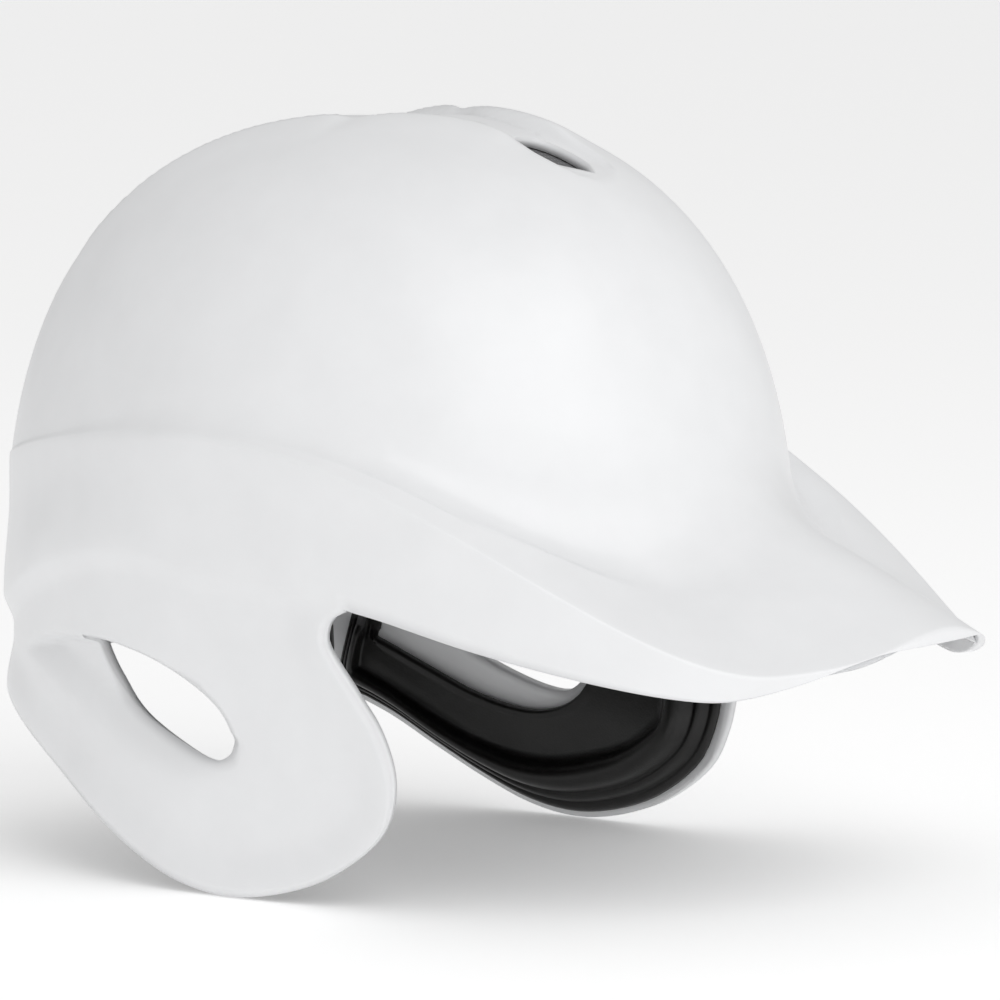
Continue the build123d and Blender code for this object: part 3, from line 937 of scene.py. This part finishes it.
def buildPad(name):
    n = comfort["rows"]
    m = n if name == "crown_pad" else int(n * 2.6)
    bm = bmesh.new()
    sides = []
    for inset, swell in ((0.0, 0.0), (comfort["thick"], 1.0)):
        grid = []
        for i in range(n + 1):
            row = []
            for j in range(m + 1):
                p, q = 2 * i / n - 1, 2 * j / m - 1
                u = p * (1 - 0.5 * q ** 8) ** 0.5
                v = q * (1 - 0.5 * p ** 8) ** 0.5
                edge = max(abs(p), abs(q))
                fall = math.sqrt(max(0.0, 1 - edge ** 6))
                depth = comfort["depth"] + comfort["thick"] * (0.5 + (swell - 0.5) * fall)
                if name == "crown_pad":
                    a = comfort["crownLength"] / 2 - comfort["edge"]
                    b = comfort["crownWidth"] / 2 - comfort["edge"]
                    p, q = p * math.sqrt(1 - q * q / 2), q * math.sqrt(1 - p * p / 2)
                    row.append(crownPoint(p * a, q * b, depth))
                else:
                    facing, half, low = comfort["round"][name]
                    middle = low + comfort["height"] / 2
                    z = middle + u * (comfort["height"] / 2 - comfort["edge"])
                    row.append(layerPoint(math.radians(facing + v * (half - 1.6)), z, depth))
            grid.append(row)
        sides.append(grid)
    for grid in sides:
        addGrid(bm, grid)
    bmesh.ops.remove_doubles(bm, verts=bm.verts, dist=0.02 * mm)
    bmesh.ops.recalc_face_normals(bm, faces=bm.faces)
    return bm


def plump(obj):
    pinned = obj.vertex_groups.new(name="glued")
    start = [v.co.copy() for v in obj.data.vertices]
    middle = Vector((0, 0, 0.02))
    for v in obj.data.vertices:
        outward = v.normal.dot((v.co - middle).normalized())
        pinned.add([v.index], 1.0 if outward > 0.4 else 0.0, "REPLACE")
    cloth = obj.modifiers.new("cloth", "CLOTH")
    settings = cloth.settings
    settings.quality = 6
    settings.mass = 0.2
    settings.tension_stiffness = comfort["stiffness"]
    settings.compression_stiffness = comfort["stiffness"]
    settings.shear_stiffness = 6
    settings.bending_stiffness = 1.2
    settings.use_pressure = True
    settings.uniform_pressure_force = comfort["pressure"]
    settings.vertex_group_mass = "glued"
    settings.effector_weights.gravity = 0
    cloth.point_cache.frame_start = 1
    cloth.point_cache.frame_end = comfort["frames"]
    for frameNumber in range(1, comfort["frames"] + 1):
        bpy.context.scene.frame_set(frameNumber)
    made = bpy.data.meshes.new_from_object(obj.evaluated_get(bpy.context.evaluated_depsgraph_get()))
    ends = [v.co.copy() for v in made.vertices]
    obj.modifiers.remove(cloth)
    obj.vertex_groups.clear()
    for v, a, b in zip(obj.data.vertices, start, ends):
        shift = b - a
        limit = comfort["cap"] * mm
        v.co = a + (shift if shift.length < limit else shift.normalized() * limit)
    bpy.data.meshes.remove(made)
    bpy.context.scene.frame_set(1)


print("comfort pads")
pads = {}
for name in list(comfort["round"]) + ["crown_pad"]:
    pad = asObject(buildPad(name), name + "_cloth")
    plump(pad)
    smooth = pad.modifiers.new("smooth", "SUBSURF")
    smooth.levels = smooth.render_levels = 1
    pad.data.materials.append(finishes["pad_cloth"])
    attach(pad, "root")
    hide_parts(name)
    pads[name] = pad


# carried-over CAD pieces take a finish by their slot
slots = {part["node"]: part["material_slot"] for part in frame["record"]["subparts"]}
gone = {"outer_shell", "vent_mesh", "ear_pad_tape"} | set(pads)
gone |= {part + hand for part in ("ear_pad_cover_", "ear_pad_foam_") for hand in ("left", "right")}
for name, obj in frame["nodes"].items():
    if name not in gone and name in slots:
        for k in range(len(obj.data.materials)):
            obj.data.materials[k] = finishes[slots[name]]
        if not obj.data.materials:
            obj.data.materials.append(finishes[slots[name]])


# camera, lights and floor
view = {"turn": 35.0, "rise": 6.5, "distance": 2.0, "aim": (0.0242, 0.0169, -0.0067), "width": 0.295}
camData = bpy.data.cameras.new("camera")
cam = bpy.data.objects.new("camera", camData)
bpy.context.scene.collection.objects.link(cam)
a, e = math.radians(view["turn"]), math.radians(view["rise"])
back = Vector((math.sin(a) * math.cos(e), -math.cos(a) * math.cos(e), math.sin(e)))
cam.location = Vector(view["aim"]) + back * view["distance"]
cam.rotation_mode = "QUATERNION"
cam.rotation_quaternion = (-back).to_track_quat("-Z", "Y")
camData.sensor_width = 36
camData.lens = 36 * view["distance"] / view["width"]
camData.clip_end = 20
bpy.context.scene.camera = cam

floorMesh = bpy.data.meshes.new("floor")
half, level = 14.0, -0.1125
corners = [(-half, -half, level), (half, -half, level), (half, half, level), (-half, half, level)]
floorMesh.from_pydata(corners, [], [(0, 1, 2, 3)])
ground = bpy.data.objects.new("floor", floorMesh)
bpy.context.scene.collection.objects.link(ground)
pale = newMaterial("pale_floor", (0.95, 0.95, 0.95), 0.8, shade={"scale": 3.0, "dark": 0.995})
paleShader = next(n for n in pale.node_tree.nodes if n.type == "BSDF_PRINCIPLED")
paleShader.inputs["Emission Color"].default_value = (1, 1, 1, 1)
paleShader.inputs["Emission Strength"].default_value = 0.26
floorMesh.materials.append(pale)

world = bpy.data.worlds.new("studio")
bpy.context.scene.world = world
world.use_nodes = True
world.node_tree.nodes["Background"].inputs["Color"].default_value = (1, 1, 1, 1)
backdrop = world.node_tree.nodes["Background"]
path = world.node_tree.nodes.new("ShaderNodeLightPath")
glow = world.node_tree.nodes.new("ShaderNodeMapRange")
glow.inputs["To Min"].default_value = 0.62
glow.inputs["To Max"].default_value = 1.0
world.node_tree.links.new(path.outputs["Is Camera Ray"], glow.inputs["Value"])
world.node_tree.links.new(glow.outputs["Result"], backdrop.inputs["Strength"])
bpy.context.scene.view_settings.view_transform = "Standard"


def softLight(name, where, size, power):
    data = bpy.data.lights.new(name, "AREA")
    data.size = size
    data.energy = power
    lamp = bpy.data.objects.new(name, data)
    bpy.context.scene.collection.objects.link(lamp)
    lamp.location = where
    lamp.rotation_mode = "QUATERNION"
    lamp.rotation_quaternion = (-Vector(where)).to_track_quat("-Z", "Y")


softLight("key", (1.5, -0.7, 1.2), 1.8, 16)
